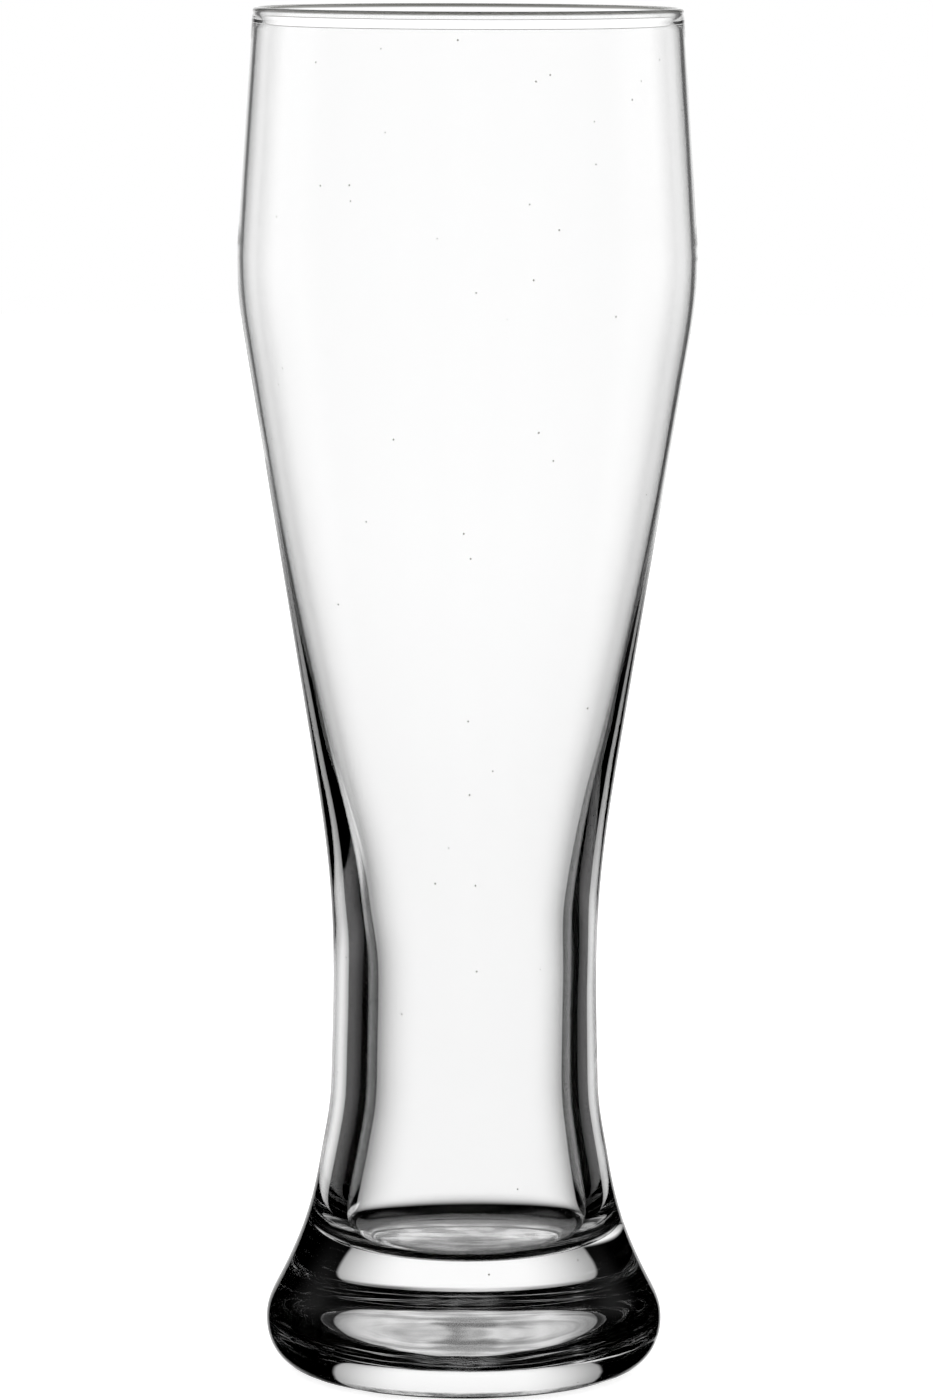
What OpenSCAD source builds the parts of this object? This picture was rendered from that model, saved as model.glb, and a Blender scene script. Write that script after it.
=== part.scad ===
// Half-litre wheat beer glass: a thin blown bowl that widens upwards, fused to a heavy pressed foot.
// Millimetres, +Z up, origin on the table under the middle of the glass.

/* [Glass] */
// Height from the table to the top of the rim
glass_h = 248; // [225:1:290]
// Diameter across the rim
rim_d = 77.4; // [68:0.2:80]
// Diameter at the shoulder, the widest place
shoulder_d = 83; // [74:0.2:100]
// Height of the mouth, from the shoulder up to the rim
mouth_h = 44.5; // [26:0.2:56]
// Diameter at the waist, the narrowest place
waist_d = 48; // [42:0.2:58]
// Height of the waist above the table
waist_h = 73.2; // [62:0.2:92]
// Diameter at the neck, where the bowl starts to flare out into the foot
neck_d = 52.6; // [49:0.2:62]
// Height of the neck above the table
neck_h = 39.1; // [35:0.1:48]

/* [Foot] */
// Diameter across the foot
foot_d = 72.3; // [66:0.1:86]
// Height at which the foot is widest
foot_edge_h = 9.3; // [6:0.1:12]
// Height of the plane on which the bowl and the foot are fused
joint_h = 17.6; // [14:0.1:20]
// Outer diameter of the ring that the glass stands on
ring_d = 53.6; // [48:0.2:60]
// Width of that ring
ring_w = 1.4; // [1:0.1:4]
// Rise of the hollow under the foot
hollow_h = 1.5; // [1:0.1:5]

/* [Walls] */
// Wall of the mouth and of the upper half of the taper
mouth_wall = 1.05; // [0.8:0.05:1.6]
// Thickness of the fire-polished bead around the rim
bead_t = 1.4; // [1:0.05:2.2]
// Wall at the foot of the straight taper
taper_wall = 2.7; // [1.6:0.1:4]
// Wall at the waist
waist_wall = 5.4; // [3:0.1:8]
// Wall at the neck
neck_wall = 5.9; // [4:0.1:9]

/* [Cavity] */
// Height of the cavity's floor above the table
floor_h = 22.3; // [21:0.1:26]
// Radius of the flat middle of the floor
floor_r = 17; // [6:0.1:18]
// Height of the round between the floor and the wall
floor_round = 10.6; // [6:0.1:15]

/* [Hidden] */

// Straight steps in one stretch of curve
curve_steps = 12;
// Length of a curve's handles over the length of its chord
handle_share = 0.38;
// The same at the lower edge of the foot
edge_handle_share = 0.43;
// Places of the straight taper between the waist and the shoulder, as [outwards, upwards] shares
taper_low_share = [0.266, 0.347];
taper_top_share = [0.849, 0.826];
// Start of the straight mouth between the shoulder and the rim
mouth_low_share = [0.1, 0.12];
// Where the flare leaves the rounded edge of the foot, between that edge and the neck
flare_low_share = [0.27, 0.26];
// Where the neck turns upright, between the neck and the waist
neck_top_share = [0.833, 0.42];
// Height of the taper at which the wall starts to thicken, between its ends
thin_share = 0.85;
// Rim of the hollow under the foot, as shares of the ring's inner radius and of the hollow's rise
hollow_rim_share = [0.9, 0.45];
// Height of the stretch in which the bead runs out into the wall, in beads
bead_run_share = 2.2;
// Inward lean of the flare where it leaves the foot's edge, in degrees from upright
flare_lean = 26.9;
// Inward lean at the neck, in degrees from upright
neck_lean = 9.4;
// Inward lean of the cavity's wall just above the round of its floor, in degrees from upright
cavity_lean = 9;
// Slope of the hollow at its rim, in degrees
hollow_slope = 16;

rim_r = rim_d / 2;
shoulder_r = shoulder_d / 2;
waist_r = waist_d / 2;
neck_r = neck_d / 2;
foot_r = foot_d / 2;
ring_r = ring_d / 2;
hollow_r = ring_r - ring_w;
shoulder_h = glass_h - mouth_h;
bead_r = bead_t / 2;
bead_h = glass_h - bead_r;
bead_end_h = bead_h - bead_run_share * bead_t;

// The place a share of the way from a to b, both [radius, height]
function between(a, b, shares) = [a[0] + (b[0] - a[0]) * shares[0], a[1] + (b[1] - a[1]) * shares[1]];
// The direction from a to b in degrees: 0 is outwards and 90 is up
function heading(a, b) = atan2(b[1] - a[1], b[0] - a[0]);
// A station: a place and the direction in which the outline passes through it
function station(place, direction) = [place[0], place[1], direction];

// Points of the cubic curve that leaves station a and arrives at station b, without b itself
function curve(a, b, handle = handle_share) =
    let (
        reach = handle * norm([b[0] - a[0], b[1] - a[1]]),
        p = [a[0], a[1]],
        q = p + reach * [cos(a[2]), sin(a[2])],
        s = [b[0], b[1]],
        r = s - reach * [cos(b[2]), sin(b[2])]
    )
    [for (i = [0 : curve_steps - 1])
        let (t = i / curve_steps, u = 1 - t)
        u * u * u * p + 3 * u * u * t * q + 3 * u * t * t * r + t * t * t * s];
// Points of the curves through all the stations in turn
function through(stations) =
    [for (i = [0 : len(stations) - 2]) each curve(stations[i], stations[i + 1])];
// Radius of an outline at a height
function radius_at(outline, height) = lookup(height, [for (p = outline) [p[1], p[0]]]);

edge = [foot_r, foot_edge_h];
neck = [neck_r, neck_h];
waist = [waist_r, waist_h];
shoulder = [shoulder_r, shoulder_h];
rim = [rim_r, bead_h];
flare_low = between(edge, neck, flare_low_share);
neck_top = between(neck, waist, neck_top_share);
taper_low = between(waist, shoulder, taper_low_share);
taper_top = between(waist, shoulder, taper_top_share);
mouth_low = between(shoulder, rim, mouth_low_share);

// Outer outline from the foot's widest place up to the rim
outer = concat(
    through([
        station(edge, 90),
        station(flare_low, 90 + flare_lean),
        station(neck, 90 + neck_lean),
        station(neck_top, heading(waist, neck_top) + 180),
        station(waist, 90),
        station(taper_low, heading(taper_low, taper_top))
    ]),
    [taper_low],
    through([
        station(taper_top, heading(taper_low, taper_top)),
        station(shoulder, 90),
        station(mouth_low, heading(mouth_low, rim))
    ]),
    [mouth_low, rim]
);

// Wall thickness along the height, as an outline of [thickness, height]
wall_stations = [
    station([neck_wall, neck_h], heading([neck_wall, neck_h], [waist_wall, waist_h])),
    station([waist_wall, waist_h], heading([neck_wall, neck_h], [waist_wall, waist_h])),
    station([taper_wall, taper_low[1]], heading([waist_wall, waist_h], [taper_wall, taper_low[1]])),
    station([mouth_wall, taper_low[1] + thin_share * (taper_top[1] - taper_low[1])], 90)
];
wall = concat(through(wall_stations), [[mouth_wall, glass_h]]);

// Inner outline from the top of the floor's round up to the bead
side_h = floor_h + floor_round;
side_steps = 6 * curve_steps;
side = [for (i = [0 : side_steps])
    let (h = side_h + (bead_end_h - side_h) * i / side_steps)
    [radius_at(outer, h) - radius_at(wall, h), h]];
cavity_floor = concat(
    [[0, floor_h]],
    curve([floor_r, floor_h, 0], station(side[0], 90 + cavity_lean))
);
bead = [for (i = [0 : curve_steps])
    let (turn = 180 - 180 * i / curve_steps)
    [rim_r - bead_r + bead_r * cos(turn), bead_h + bead_r * sin(turn)]];

joint_r = radius_at(outer, joint_h);

module bowl() {
    color("azure", 0.35)
        rotate_extrude($fn = 180)
            polygon(concat(
                cavity_floor,
                side,
                bead,
                [for (i = [len(outer) - 2 : -1 : 0]) if (outer[i][1] > joint_h) outer[i]],
                [[joint_r, joint_h], [0, joint_h]]
            ));
}

module foot() {
    color("lightcyan", 0.45)
        rotate_extrude($fn = 180)
            polygon(concat(
                [[0, joint_h], [joint_r, joint_h]],
                [for (i = [len(outer) - 1 : -1 : 0]) if (outer[i][1] < joint_h) outer[i]],
                [for (i = [curve_steps - 1 : -1 : 1])
                    curve([ring_r, 0, 0], station(edge, 90), edge_handle_share)[i]],
                [[ring_r, 0]],
                through([
                    [hollow_r, 0, 180 - hollow_slope - hollow_slope],
                    [hollow_r * hollow_rim_share[0], hollow_h * hollow_rim_share[1], 180 - hollow_slope],
                    [0, hollow_h, 180]
                ]),
                [[0, hollow_h]]
            ));
}

bowl();
foot();
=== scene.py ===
import math

import bmesh
import bpy
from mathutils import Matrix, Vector


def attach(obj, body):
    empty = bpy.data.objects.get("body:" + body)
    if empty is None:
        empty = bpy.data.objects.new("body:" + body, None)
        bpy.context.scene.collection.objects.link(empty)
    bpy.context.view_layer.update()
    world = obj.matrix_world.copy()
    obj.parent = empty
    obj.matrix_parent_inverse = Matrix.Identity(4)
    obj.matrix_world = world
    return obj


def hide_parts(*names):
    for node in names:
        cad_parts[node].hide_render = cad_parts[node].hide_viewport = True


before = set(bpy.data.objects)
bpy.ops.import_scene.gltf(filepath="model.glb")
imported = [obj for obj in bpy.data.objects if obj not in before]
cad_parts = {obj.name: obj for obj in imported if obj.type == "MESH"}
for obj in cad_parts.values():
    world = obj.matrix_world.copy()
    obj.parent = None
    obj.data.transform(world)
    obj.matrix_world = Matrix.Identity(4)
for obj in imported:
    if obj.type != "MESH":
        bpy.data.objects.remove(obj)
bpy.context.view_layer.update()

mm = 0.001
print("frame loaded")

# One glass in two hot-fused parts. Lengths are millimetres, and the shares follow the sizes they name.
glass = {
    "height": 248.0,
    "rimAcross": 77.4,
    "shoulderAcross": 83.0,
    "mouthHeight": 44.5,
    "waistAcross": 48.0,
    "waistHeight": 73.2,
    "neckAcross": 52.6,
    "neckHeight": 39.1,
    "footAcross": 72.3,
    "footEdgeHeight": 9.3,
    "jointHeight": 17.6,
    "handle": 0.38,  # curve handle over chord
    "edgeHandle": 0.43,
    "taperLow": (0.266, 0.347),
    "taperTop": (0.849, 0.826),
    "mouthLow": (0.1, 0.12),
    "flareLow": (0.27, 0.26),
    "neckTop": (0.833, 0.42),
    "flareLean": 26.9,
    "neckLean": 9.4,
    "curveSteps": 14,
    "fineSteps": 80,  # for the outlines that radii and walls are read from
    "spinSteps": 192,
    "mergeWithin": 0.001,
    "flatWithin": 0.002,
    "jointClear": 0.2,  # nearest that an outline point may lie to the fused plane
}
bowl = {
    "mouthWall": 1.05,
    "beadThickness": 1.4,
    "beadRun": 2.2,  # length over which the bead runs out, in beads
    "beadRunSteps": 6,
    "beadSteps": 12,
    "taperWall": 2.7,
    "waistWall": 5.4,
    "neckWall": 5.9,
    "thinAt": 0.85,
    "floorHeight": 22.3,
    "floorRadius": 17.0,
    "floorRound": 14.0,
    "floorHandle": 0.5,
    "floorSteps": 28,
    # how far the blown cavity sits off the axis, as (height, offset), smooth between
    "drift": [(22.0, 0.3), (50.0, 0.5), (73.0, 0.6), (87.0, 0.27), (112.0, 0.0)],
}
foot = {
    "ringAcross": 53.6,
    "ringWidth": 1.4,
    "hollowRise": 1.5,
    "hollowRim": (0.9, 0.45),
    "hollowSlope": 16.0,
    "edgeSteps": 20,
    "seamGap": 0.01,  # between the two fused faces, so that they don't coincide
}


def linear(hexColour):
    values = [int(hexColour[i:i + 2], 16) / 255 for i in (0, 2, 4)]
    return [v / 12.92 if v <= 0.04045 else ((v + 0.055) / 1.055) ** 2.4 for v in values] + [1.0]


def between(a, b, shares):
    return (a[0] + (b[0] - a[0]) * shares[0], a[1] + (b[1] - a[1]) * shares[1])


def heading(a, b):
    return math.degrees(math.atan2(b[1] - a[1], b[0] - a[0]))


def curve(a, b, handle=None, steps=None):
    # a and b are (radius, height, direction); the end point is left to the next curve
    handle = handle or glass["handle"]
    steps = steps or glass["curveSteps"]
    reach = handle * math.hypot(b[0] - a[0], b[1] - a[1])
    p, s = Vector(a[:2]), Vector(b[:2])
    q = p + reach * Vector((math.cos(math.radians(a[2])), math.sin(math.radians(a[2]))))
    r = s - reach * Vector((math.cos(math.radians(b[2])), math.sin(math.radians(b[2]))))
    points = []
    for i in range(steps):
        t = i / steps
        u = 1 - t
        points.append(tuple(u * u * u * p + 3 * u * u * t * q + 3 * u * t * t * r + t * t * t * s))
    return points


def through(stations, steps=None):
    points = []
    for a, b in zip(stations, stations[1:]):
        points += curve(a, b, steps=steps)
    return points


def radiusAt(outline, height):
    for a, b in zip(outline, outline[1:]):
        if min(a[1], b[1]) <= height <= max(a[1], b[1]) and a[1] != b[1]:
            return a[0] + (b[0] - a[0]) * (height - a[1]) / (b[1] - a[1])
    return outline[-1][0] if height > outline[-1][1] else outline[0][0]


beadRadius = bowl["beadThickness"] / 2
edge = (glass["footAcross"] / 2, glass["footEdgeHeight"])
neck = (glass["neckAcross"] / 2, glass["neckHeight"])
waist = (glass["waistAcross"] / 2, glass["waistHeight"])
shoulder = (glass["shoulderAcross"] / 2, glass["height"] - glass["mouthHeight"])
rim = (glass["rimAcross"] / 2, glass["height"] - beadRadius)
flareLow = between(edge, neck, glass["flareLow"])
neckTop = between(neck, waist, glass["neckTop"])
taperLow = between(waist, shoulder, glass["taperLow"])
taperTop = between(waist, shoulder, glass["taperTop"])
mouthLow = between(shoulder, rim, glass["mouthLow"])


def outerOutline(steps):
    low = through([
        (*edge, 90), (*flareLow, 90 + glass["flareLean"]), (*neck, 90 + glass["neckLean"]),
        (*neckTop, heading(waist, neckTop) + 180), (*waist, 90), (*taperLow, heading(taperLow, taperTop)),
    ], steps=steps)
    taper = [between(taperLow, taperTop, (i / steps, i / steps)) for i in range(steps)]
    high = through([
        (*taperTop, heading(taperLow, taperTop)), (*shoulder, 90), (*mouthLow, heading(mouthLow, rim)),
    ], steps=steps)
    mouth = [between(mouthLow, rim, (i / steps, i / steps)) for i in range(steps + 1)]
    return low + taper + high + mouth


def wallOutline(steps):
    # pairs of (thickness, height)
    neckWall = (bowl["neckWall"], neck[1])
    waistWall = (bowl["waistWall"], waist[1])
    taperWall = (bowl["taperWall"], taperLow[1])
    thin = (bowl["mouthWall"], taperLow[1] + bowl["thinAt"] * (taperTop[1] - taperLow[1]))
    low = heading(neckWall, waistWall)
    points = through([
        (*neckWall, low), (*waistWall, low), (*taperWall, heading(waistWall, taperWall)), (*thin, 90),
    ], steps=steps)
    return points + [(bowl["mouthWall"], glass["height"])]


outer = outerOutline(glass["curveSteps"])
fineOuter = outerOutline(glass["fineSteps"])
fineWall = wallOutline(glass["fineSteps"])


def bowlOutline():
    beadHeight = rim[1]
    beadEnd = beadHeight - bowl["beadRun"] * bowl["beadThickness"]
    sideLow = bowl["floorHeight"] + bowl["floorRound"]
    sideSteps = 6 * glass["curveSteps"]
    side = []
    for i in range(sideSteps + 1):
        height = sideLow + (beadEnd - sideLow) * i / sideSteps
        side.append((radiusAt(fineOuter, height) - radiusAt(fineWall, height), height))
    # the floor's round runs into the wall in the wall's own direction
    floor = curve((bowl["floorRadius"], bowl["floorHeight"], 0), (*side[0], heading(side[0], side[2])),
                  bowl["floorHandle"], bowl["floorSteps"])
    lean = heading(side[-2], side[-1])
    beadLow = (rim[0] - bowl["beadThickness"], beadHeight)
    run = curve((*side[-1], lean), (*beadLow, 90), steps=bowl["beadRunSteps"])[1:]
    middle = rim[0] - beadRadius
    bead = []
    for i in range(bowl["beadSteps"] + 1):
        turn = math.pi * (1 - i / bowl["beadSteps"])
        bead.append((middle + beadRadius * math.cos(turn), beadHeight + beadRadius * math.sin(turn)))
    outside = [p for p in reversed(outer[:-1]) if p[1] > glass["jointHeight"] + glass["jointClear"]]
    joint = [(radiusAt(fineOuter, glass["jointHeight"]), glass["jointHeight"]), (0, glass["jointHeight"])]
    return [(0, bowl["floorHeight"])] + floor + side + run + bead + outside + joint


def footOutline():
    top = glass["jointHeight"] - foot["seamGap"]
    ring = foot["ringAcross"] / 2
    hollow = ring - foot["ringWidth"]
    outside = [p for p in reversed(outer) if p[1] < glass["jointHeight"] - glass["jointClear"]]
    low = curve((ring, 0, 0), (*edge, 90), glass["edgeHandle"], foot["edgeSteps"])[1:]
    slope = foot["hollowSlope"]
    under = through([
        (hollow, 0, 180 - 2 * slope),
        (*between((0, 0), (hollow, foot["hollowRise"]), foot["hollowRim"]), 180 - slope),
        (0, foot["hollowRise"], 180),
    ])
    joint = (radiusAt(fineOuter, top), top)
    return [(0, top), joint] + outside + low[::-1] + [(ring, 0)] + under + [(0, foot["hollowRise"])]


def spun(name, outline, seamHeight):
    # The outline is spun round the axis into one closed skin, and its flat fused face gets its own slot
    mesh = bpy.data.meshes.new(name)
    bm = bmesh.new()
    verts = [bm.verts.new((x * mm, 0, z * mm)) for x, z in outline]
    edges = [bm.edges.new(pair) for pair in zip(verts, verts[1:])]
    bmesh.ops.spin(bm, geom=verts + edges, cent=(0, 0, 0), axis=(0, 0, 1), angle=2 * math.pi,
                   steps=glass["spinSteps"], use_merge=True, use_duplicate=False)
    bmesh.ops.remove_doubles(bm, verts=bm.verts, dist=glass["mergeWithin"] * mm)
    bmesh.ops.recalc_face_normals(bm, faces=bm.faces)
    for face in bm.faces:
        face.smooth = True
        flat = all(abs(v.co.z - seamHeight * mm) < glass["flatWithin"] * mm for v in face.verts)
        face.material_index = 1 if flat else 0
    for e in bm.edges:
        if len({f.material_index for f in e.link_faces}) > 1:
            e.smooth = False
    bm.to_mesh(mesh)
    bm.free()
    piece = bpy.data.objects.new(name, mesh)
    bpy.context.collection.objects.link(piece)
    return piece


def driftAt(height):
    stops = bowl["drift"]
    for a, b in zip(stops, stops[1:]):
        if a[0] <= height <= b[0]:
            share = (height - a[0]) / (b[0] - a[0])
            return a[1] + (b[1] - a[1]) * share * share * (3 - 2 * share)
    return stops[0][1] if height < stops[0][0] else 0.0


def shiftCavity(piece):
    lowest = bowl["floorHeight"] - glass["flatWithin"]
    highest = bowl["drift"][-1][0]
    for vert in piece.data.vertices:
        height = vert.co.z / mm
        if lowest < height < highest:
            away = math.hypot(vert.co.x, vert.co.y) / mm
            if away < radiusAt(fineOuter, height) - bowl["mouthWall"] / 2:
                vert.co.x += driftAt(height) * mm


def addNode(tree, kind, settings=None, links=None):
    node = tree.nodes.new(kind)
    for name, value in (settings or {}).items():
        if name in node.inputs:
            node.inputs[name].default_value = value
        else:
            setattr(node, name, value)
    for name, source in (links or {}).items():
        tree.links.new(source, node.inputs[name])
    return node


def newMaterial(name):
    material = bpy.data.materials.new(name)
    material.use_nodes = True
    material.node_tree.nodes.clear()
    return material, material.node_tree


def mathNode(tree, operation, *values):
    # each value is a number or the output of another node
    node = addNode(tree, "ShaderNodeMath", {"operation": operation})
    for socket, value in zip(node.inputs, values):
        if isinstance(value, (int, float)):
            socket.default_value = value
        else:
            tree.links.new(value, socket)
    return node.outputs[0]


def fade(tree, value, low, high, least=0.0, most=1.0):
    # least up to low, most from high on, and smooth between them; low may be the larger one
    node = addNode(tree, "ShaderNodeMapRange", {
        "interpolation_type": "SMOOTHSTEP",
        "From Min": low, "From Max": high, "To Min": least, "To Max": most,
    }, {"Value": value})
    return node.outputs["Result"]


def mixedColour(tree, share, first, second):
    # first and second are colours or outputs of other nodes
    node = addNode(tree, "ShaderNodeMix", {"data_type": "RGBA"})
    tree.links.new(share, node.inputs[0])
    for socket, value in ((node.inputs[6], first), (node.inputs[7], second)):
        if isinstance(value, list):
            socket.default_value = value
        else:
            tree.links.new(value, socket)
    return node.outputs[2]


def noiseAt(tree, place, lengths, detail=1.0):
    # soft noise whose swells are about as long as the three lengths in millimetres
    scaled = addNode(tree, "ShaderNodeVectorMath", {"operation": "MULTIPLY"})
    tree.links.new(place, scaled.inputs[0])
    scaled.inputs[1].default_value = [1 / v for v in lengths]
    return addNode(tree, "ShaderNodeTexNoise", {"Scale": 1.0, "Detail": detail},
                   {"Vector": scaled.outputs[0]}).outputs[0]


def glassMaterial(name, look):
    # Clear soda-lime glass: what gives it to the eye is the bending of light, the slow waves of its skin,
    # and a few seeds, which are gas bubbles caught in the melt. The rim's crown and the foot's underside
    # carry painted shade.
    material, tree = newMaterial(name)
    point = addNode(tree, "ShaderNodeTexCoord").outputs["Object"]
    scaled = addNode(tree, "ShaderNodeVectorMath", {"operation": "SCALE", "Scale": 1 / mm})
    tree.links.new(point, scaled.inputs[0])
    place = scaled.outputs[0]
    split = addNode(tree, "ShaderNodeSeparateXYZ", {}, {"Vector": place})
    height = split.outputs["Z"]
    waves = addNode(tree, "ShaderNodeBump", {"Strength": 1.0, "Distance": look["waveDepth"] * mm},
                    {"Height": noiseAt(tree, place, look["waveLengths"])})
    cells = addNode(tree, "ShaderNodeTexVoronoi", {"Scale": 1 / look["seedSpacing"]}, {"Vector": place})
    away = mathNode(tree, "MULTIPLY", cells.outputs["Distance"], look["seedSpacing"])
    seeds = fade(tree, away, look["seedRadius"], melt["seedCore"] * look["seedRadius"])
    tint = mixedColour(tree, seeds, linear(look["colour"]), linear(melt["seedColour"]))
    # painted shade: the crown of the rim is tinted dark
    if "crownShadeColour" in look:
        crownShade = fade(tree, height, *look["crownShadeHeights"])
        tint = mixedColour(tree, crownShade, tint, linear(look["crownShadeColour"]))
    rough = mathNode(tree, "MULTIPLY", seeds, melt["seedRoughness"])
    body = addNode(tree, "ShaderNodeBsdfPrincipled", {"Transmission Weight": 1.0, "IOR": melt["index"]},
                   {"Base Color": tint, "Roughness": rough, "Normal": waves.outputs["Normal"]})
    surface = body.outputs["BSDF"]
    if "underShadeColour" in look:
        # the underside is dull, streaked one way and blotched, and its dark colour is painted shade
        streaks = mathNode(tree, "ADD", noiseAt(tree, place, look["streakLengths"], look["streakDetail"]),
                           noiseAt(tree, place, look["blotchLengths"], look["blotchDetail"]))
        under = mathNode(tree, "MULTIPLY", fade(tree, height, *look["underShadeHeights"]),
                         fade(tree, streaks, *look["streakRange"], *look["underShadeShares"]))
        dullShadeCoat = addNode(tree, "ShaderNodeBsdfDiffuse", {"Color": linear(look["underShadeColour"])})
        mixed = addNode(tree, "ShaderNodeMixShader")
        tree.links.new(under, mixed.inputs[0])
        tree.links.new(surface, mixed.inputs[1])
        tree.links.new(dullShadeCoat.outputs["BSDF"], mixed.inputs[2])
        surface = mixed.outputs["Shader"]
    addNode(tree, "ShaderNodeOutputMaterial", {}, {"Surface": surface})
    return material


def seamMaterial():
    material, tree = newMaterial("fusedFace")
    clear = addNode(tree, "ShaderNodeBsdfTransparent", {"Color": (1, 1, 1, 1)})
    addNode(tree, "ShaderNodeOutputMaterial", {}, {"Surface": clear.outputs["BSDF"]})
    return material


# Lengths are millimetres. The bowl's skin swells slowly and mostly along its height, and the foot's faster.
melt = {
    "index": 1.52,
    "seedColour": "55544c",
    "seedCore": 0.7,  # share of a seed's radius that is fully dark
    "seedRoughness": 0.3,
}
blownLook = {
    "colour": "fefefe",
    "waveLengths": (14.0, 14.0, 30.0),
    "waveDepth": 0.03,
    "seedSpacing": 8.0,
    "seedRadius": 0.22,
    # the crown of the rim is tinted dark as painted shade, for the dark line of bent light that it shows
    "crownShadeColour": "565652",
    "crownShadeHeights": (247.12, 247.52),
}
pressedLook = {
    "colour": "f6f6f6",
    "waveLengths": (9.0, 9.0, 6.0),
    "waveDepth": 0.05,
    "seedSpacing": 6.0,
    "seedRadius": 0.2,
    # painted shade: the dark colour of the foot's underside
    "underShadeColour": "1c1c1c",
    "underShadeHeights": (2.4, 1.8),
    "underShadeShares": (0.25, 0.8),
    "streakLengths": (11.0, 1.6, 3.0),
    "streakDetail": 3.0,
    "blotchLengths": (6.0, 8.0, 3.0),
    "blotchDetail": 2.0,
    "streakRange": (0.75, 1.25),
}
blownGlass = glassMaterial("blownSodaLimeGlass", blownLook)
pressedGlass = glassMaterial("pressedSodaLimeGlass", pressedLook)
fusedFace = seamMaterial()

bowlPiece = spun("blownBowl", bowlOutline(), glass["jointHeight"])
bowlPiece.data.materials.append(blownGlass)
bowlPiece.data.materials.append(fusedFace)
shiftCavity(bowlPiece)
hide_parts("bowl")
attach(bowlPiece, "root")

footPiece = spun("pressedFoot", footOutline(), glass["jointHeight"] - foot["seamGap"])
footPiece.data.materials.append(pressedGlass)
footPiece.data.materials.append(fusedFace)
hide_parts("foot")
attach(footPiece, "root")
print("glass made")

studio = {
    # The glass stands in a clear round tent in a dark room. Bright cloths hang on the tent, in degrees and
    # millimetres: where each hangs round the glass, how far it reaches to both sides, and how it fades out
    # downwards and, where it differs from clothTop, upwards. Unlike real ones, a cloth with "faces" shows
    # only in light that was reflected nowhere and has passed that many glass faces, so that the lighting of
    # one side stays out of the others. A "soft" one has edges that wide and shows only in reflected light.
    "tentRadius": 270.0,
    "tentLow": -320.0,
    "tentHigh": 1500.0,
    "tentSegments": 180,
    "clothTop": (1000.0, 330.0),
    "cloths": [
        {"at": 0.0, "left": 28.5, "right": 26.0, "low": (-205.0, -62.0)},
        {"at": -90.0, "left": 26.0, "right": 26.0, "low": (-205.0, -62.0), "faces": 1},
        {"at": 135.0, "left": 26.0, "right": 26.0, "low": (-290.0, -150.0), "faces": 1},
        {"at": -45.0, "left": 26.0, "right": 26.0, "low": (95.0, 120.0), "faces": 1},
        {"at": 62.0, "left": 30.0, "right": 30.0, "low": (60.0, 200.0), "soft": 24.0},
        {"at": -62.0, "left": 30.0, "right": 30.0, "low": (60.0, 200.0), "soft": 24.0},
    ],
    # Bright patches of the room far behind the tent, whose heights are degrees over the horizon
    "patches": [
        {"at": -45.0, "left": 24.0, "right": 24.0, "low": (-60.0, -42.0), "high": (-17.0, -21.0), "faces": 3},
        {"at": -45.0, "left": 24.0, "right": 24.0, "low": (-60.0, -42.0), "high": (-24.0, -28.0), "faces": 1},
    ],
    "patchStrength": 1.19,
    "clothEdge": 0.8,
    "softShare": 0.6,
    "clothStrength": (1.11, 1.185),  # at the two heights of clothRise
    "clothRise": (0.0, 130.0),
    "sideFade": (9.0, 32.0),
    "sideShare": 0.3,
    "floorRadius": 3000.0,
    "floorSegments": 96,
    "floorColour": "e6e6e6",
    "floorGlow": 0.8,
    "cameraDistance": 1233.2,
    "cameraRise": 24.1,
    "tilt": 6.897,
    "roll": 0.2,
    "focalPixels": 6847.0,
    "frameHeight": 1400.0,
    "sensor": 36.0,
    "sideStep": 0.12,
    "clipEnd": 20000.0,
    "bounces": 32,
    "glossyBounces": 16,
}


def clothMask(tree, azimuth, height, cloth, unit):
    soft = math.radians(cloth.get("soft", studio["clothEdge"]))
    turned = mathNode(tree, "SUBTRACT", azimuth, math.radians(cloth["at"]))
    aside = mathNode(tree, "WRAP", turned, math.pi, -math.pi)
    left, right = math.radians(cloth["left"]), math.radians(cloth["right"])
    mask = mathNode(tree, "MULTIPLY", fade(tree, aside, -left - soft, -left + soft),
                    fade(tree, aside, right + soft, right - soft))
    for ends in (cloth["low"], cloth.get("high", studio["clothTop"])):
        mask = mathNode(tree, "MULTIPLY", mask, fade(tree, height, *[v * unit for v in ends]))
    start, end = [math.radians(v) for v in studio["sideFade"]]
    dim = fade(tree, mathNode(tree, "ABSOLUTE", aside), start, end, 1.0, studio["sideShare"])
    return mathNode(tree, "MULTIPLY", mask, dim)


def clothsAt(tree, azimuth, height, cloths, unit):
    # how bright the cloths are in a direction, between 0 and 1
    path = addNode(tree, "ShaderNodeLightPath")
    straight = mathNode(tree, "LESS_THAN", path.outputs["Glossy Depth"], 0.5)
    reflected = mathNode(tree, "SUBTRACT", 1.0, straight)
    bright = 0.0
    for cloth in cloths:
        mask = clothMask(tree, azimuth, height, cloth, unit)
        if "faces" in cloth:
            passed = mathNode(tree, "GREATER_THAN", path.outputs["Transmission Depth"],
                              cloth["faces"] - 0.5)
            mask = mathNode(tree, "MULTIPLY", mask, mathNode(tree, "MULTIPLY", straight, passed))
        if "soft" in cloth:
            share = mathNode(tree, "MULTIPLY", reflected, studio["softShare"])
            mask = mathNode(tree, "MULTIPLY", mask, share)
        bright = mathNode(tree, "MAXIMUM", mask, bright)
    seen = mathNode(tree, "MAXIMUM", path.outputs["Is Glossy Ray"], path.outputs["Is Transmission Ray"])
    return mathNode(tree, "MULTIPLY", bright, seen)


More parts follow.
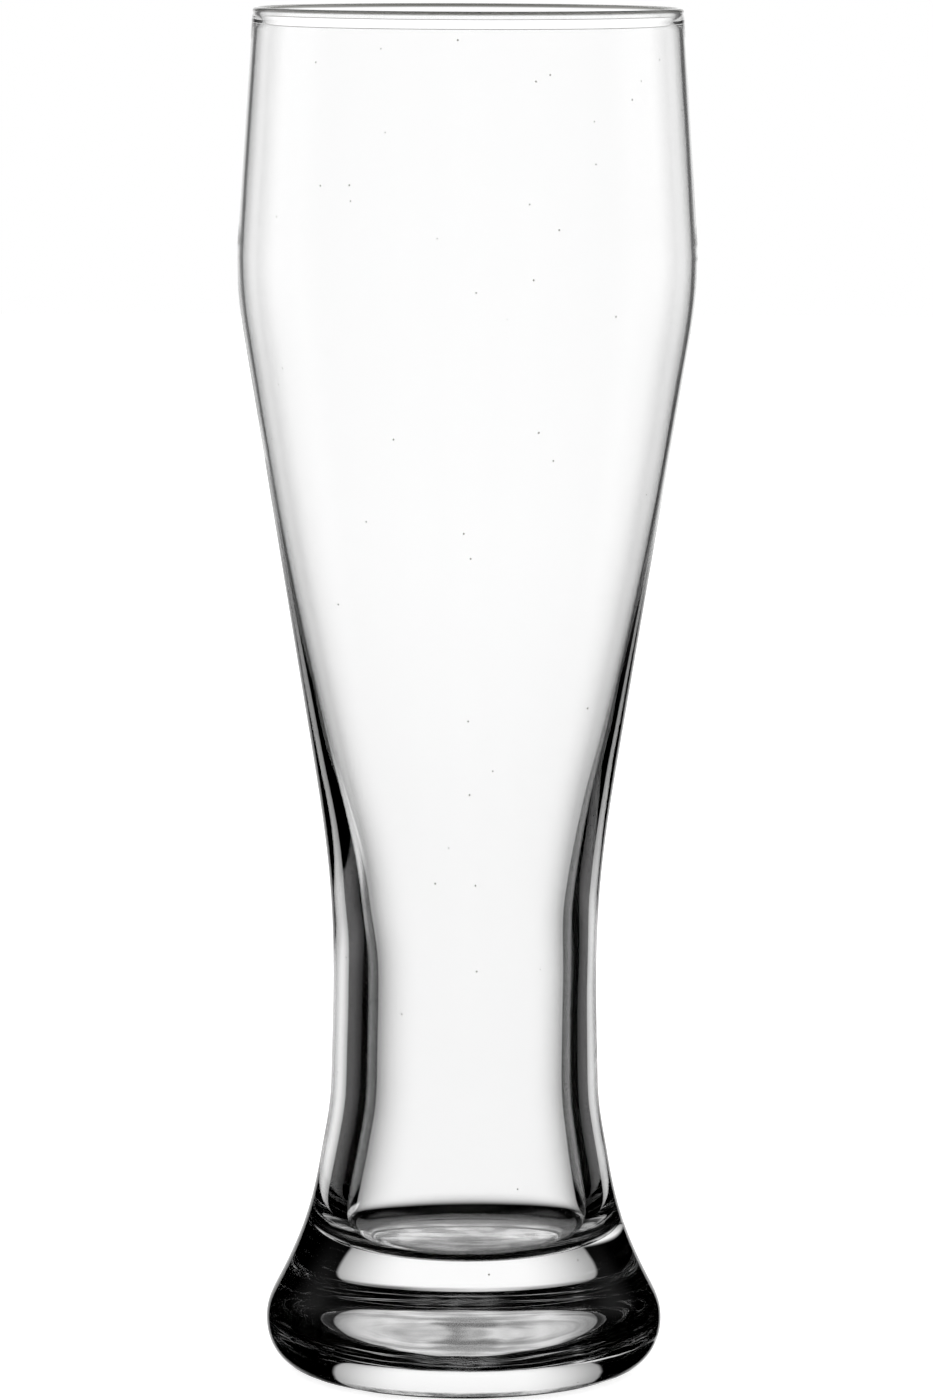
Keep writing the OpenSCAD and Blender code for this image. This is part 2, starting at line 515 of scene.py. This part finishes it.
def tentMaterial():
    # The tent glows where a cloth hangs and is clear throughout, so that the room's patches show behind it
    material, tree = newMaterial("tentCloth")
    place = addNode(tree, "ShaderNodeNewGeometry")
    split = addNode(tree, "ShaderNodeSeparateXYZ", {}, {"Vector": place.outputs["Position"]})
    azimuth = mathNode(tree, "ARCTAN2", split.outputs["X"], split.outputs["Y"])
    bright = clothsAt(tree, azimuth, split.outputs["Z"], studio["cloths"], mm)
    rise = [v * mm for v in studio["clothRise"]]
    strength = fade(tree, split.outputs["Z"], *rise, *studio["clothStrength"])
    glow = addNode(tree, "ShaderNodeEmission", {"Color": (1, 1, 1, 1)},
                   {"Strength": mathNode(tree, "MULTIPLY", bright, strength)})
    clear = addNode(tree, "ShaderNodeBsdfTransparent", {"Color": (1, 1, 1, 1)})
    both = addNode(tree, "ShaderNodeAddShader")
    tree.links.new(glow.outputs["Emission"], both.inputs[0])
    tree.links.new(clear.outputs["BSDF"], both.inputs[1])
    addNode(tree, "ShaderNodeOutputMaterial", {}, {"Surface": both.outputs["Shader"]})
    material.cycles.emission_sampling = "NONE"
    return material


def floorMaterial():
    # White to the eye, with a faint shadow under the glass, and clear to light inside the glass
    material, tree = newMaterial("studioFloor")
    path = addNode(tree, "ShaderNodeLightPath")
    paint = addNode(tree, "ShaderNodeBsdfDiffuse", {"Color": linear(studio["floorColour"])})
    glow = addNode(tree, "ShaderNodeEmission", {"Color": (1, 1, 1, 1), "Strength": studio["floorGlow"]})
    both = addNode(tree, "ShaderNodeAddShader")
    tree.links.new(paint.outputs["BSDF"], both.inputs[0])
    tree.links.new(glow.outputs["Emission"], both.inputs[1])
    clear = addNode(tree, "ShaderNodeBsdfTransparent", {"Color": (1, 1, 1, 1)})
    mixed = addNode(tree, "ShaderNodeMixShader")
    tree.links.new(path.outputs["Is Camera Ray"], mixed.inputs[0])
    tree.links.new(clear.outputs["BSDF"], mixed.inputs[1])
    tree.links.new(both.outputs["Shader"], mixed.inputs[2])
    addNode(tree, "ShaderNodeOutputMaterial", {}, {"Surface": mixed.outputs["Shader"]})
    material.cycles.emission_sampling = "NONE"
    return material


def stageObject(name, build, material):
    mesh = bpy.data.meshes.new(name)
    bm = bmesh.new()
    build(bm)
    bm.to_mesh(mesh)
    bm.free()
    mesh.materials.append(material)
    item = bpy.data.objects.new(name, mesh)
    bpy.context.collection.objects.link(item)


def tentShape(bm):
    ring = bmesh.ops.create_circle(bm, cap_ends=False, segments=studio["tentSegments"],
                                   radius=studio["tentRadius"] * mm)["verts"]
    bmesh.ops.translate(bm, verts=ring, vec=(0, 0, studio["tentLow"] * mm))
    raised = bmesh.ops.extrude_edge_only(bm, edges=bm.edges[:])["geom"]
    top = [v for v in raised if isinstance(v, bmesh.types.BMVert)]
    bmesh.ops.translate(bm, verts=top, vec=(0, 0, (studio["tentHigh"] - studio["tentLow"]) * mm))
    for face in bm.faces:
        face.smooth = True


def floorShape(bm):
    bmesh.ops.create_circle(bm, cap_ends=True, segments=studio["floorSegments"],
                            radius=studio["floorRadius"] * mm)


def makeWorld():
    # White to the eye and for the floor; in the glass it is black but for the patches
    world = bpy.data.worlds.new("studioWorld")
    bpy.context.scene.world = world
    world.use_nodes = True
    tree = world.node_tree
    tree.nodes.clear()
    place = addNode(tree, "ShaderNodeTexCoord")
    split = addNode(tree, "ShaderNodeSeparateXYZ", {}, {"Vector": place.outputs["Generated"]})
    azimuth = mathNode(tree, "ARCTAN2", split.outputs["X"], split.outputs["Y"])
    rise = mathNode(tree, "ARCSINE", split.outputs["Z"])
    patches = mathNode(tree, "MULTIPLY", clothsAt(tree, azimuth, rise, studio["patches"], math.radians(1)),
                       studio["patchStrength"])
    path = addNode(tree, "ShaderNodeLightPath")
    seen = mathNode(tree, "MAXIMUM", path.outputs["Is Camera Ray"], path.outputs["Is Diffuse Ray"])
    light = addNode(tree, "ShaderNodeBackground", {"Color": (1, 1, 1, 1)},
                    {"Strength": mathNode(tree, "MAXIMUM", seen, patches)})
    addNode(tree, "ShaderNodeOutputWorld", {}, {"Surface": light.outputs["Background"]})


stageObject("lightTent", tentShape, tentMaterial())
stageObject("paleFloor", floorShape, floorMaterial())
makeWorld()


def makeCamera():
    data = bpy.data.cameras.new("photoCamera")
    data.sensor_fit = "AUTO"
    data.sensor_width = studio["sensor"]
    data.lens = studio["focalPixels"] * studio["sensor"] / studio["frameHeight"]
    data.clip_end = studio["clipEnd"] * mm
    camera = bpy.data.objects.new("photoCamera", data)
    camera.location = (studio["sideStep"] * mm, -studio["cameraDistance"] * mm,
                       (glass["height"] + studio["cameraRise"]) * mm)
    camera.rotation_euler = (math.radians(90 - studio["tilt"]), 0, 0)
    bpy.context.collection.objects.link(camera)
    bpy.context.scene.camera = camera
    # rolled a little, as the glass leans in the photograph
    camera.rotation_euler.rotate_axis("Z", math.radians(studio["roll"]))


makeCamera()

scene = bpy.context.scene
scene.view_settings.view_transform = "Standard"
scene.cycles.max_bounces = studio["bounces"]
scene.cycles.transmission_bounces = studio["bounces"]
scene.cycles.glossy_bounces = studio["glossyBounces"]
scene.cycles.transparent_max_bounces = studio["bounces"]
print("studio made")
